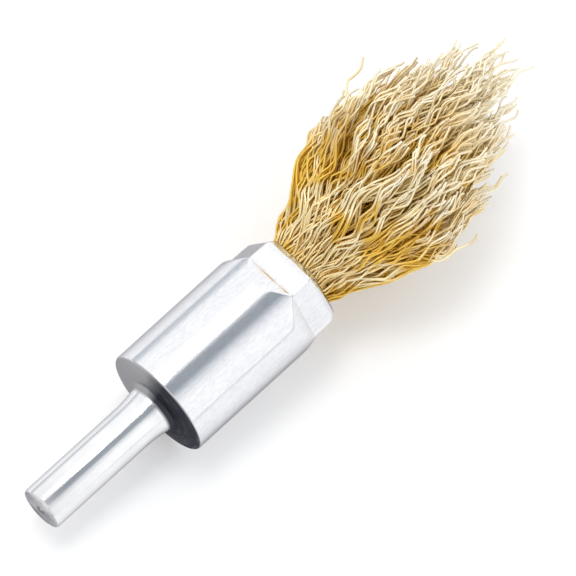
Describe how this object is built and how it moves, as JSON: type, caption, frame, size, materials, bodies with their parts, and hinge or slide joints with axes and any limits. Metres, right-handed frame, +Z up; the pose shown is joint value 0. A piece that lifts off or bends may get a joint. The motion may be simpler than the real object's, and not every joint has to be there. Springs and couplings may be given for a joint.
{
  "type": "crimped wire end brush",
  "caption": "Shank-mounted end brush: a round steel shank, a steel cup with a six-sided swaged nose, and a flame-shaped tuft of crimped brass wire.",
  "frame": {"origin": "centre of the shank's flat end face", "axes": "+X along the axis of rotation from the shank to the wires, +Z up as the brush lies on its side"},
  "size_m": [0.0817, 0.0231, 0.0213],
  "materials": {
    "shank_steel": "polished round bar",
    "cup_steel": "bright drawn and plated sheet, fine lengthwise lines",
    "inner_steel": "plain, unpolished",
    "brass_wire": "bright crimped wire"
  },
  "bodies": {
    "root": {"shank": "shank_steel", "cup": "cup_steel", "rivet_washer": "inner_steel", "anchor_ring": "inner_steel", "wire_bundle_1": "brass_wire", "wire_bundle_2": "brass_wire", "wire_bundle_3": "brass_wire", "wire_bundle_4": "brass_wire"}
  },
  "joints": []
}
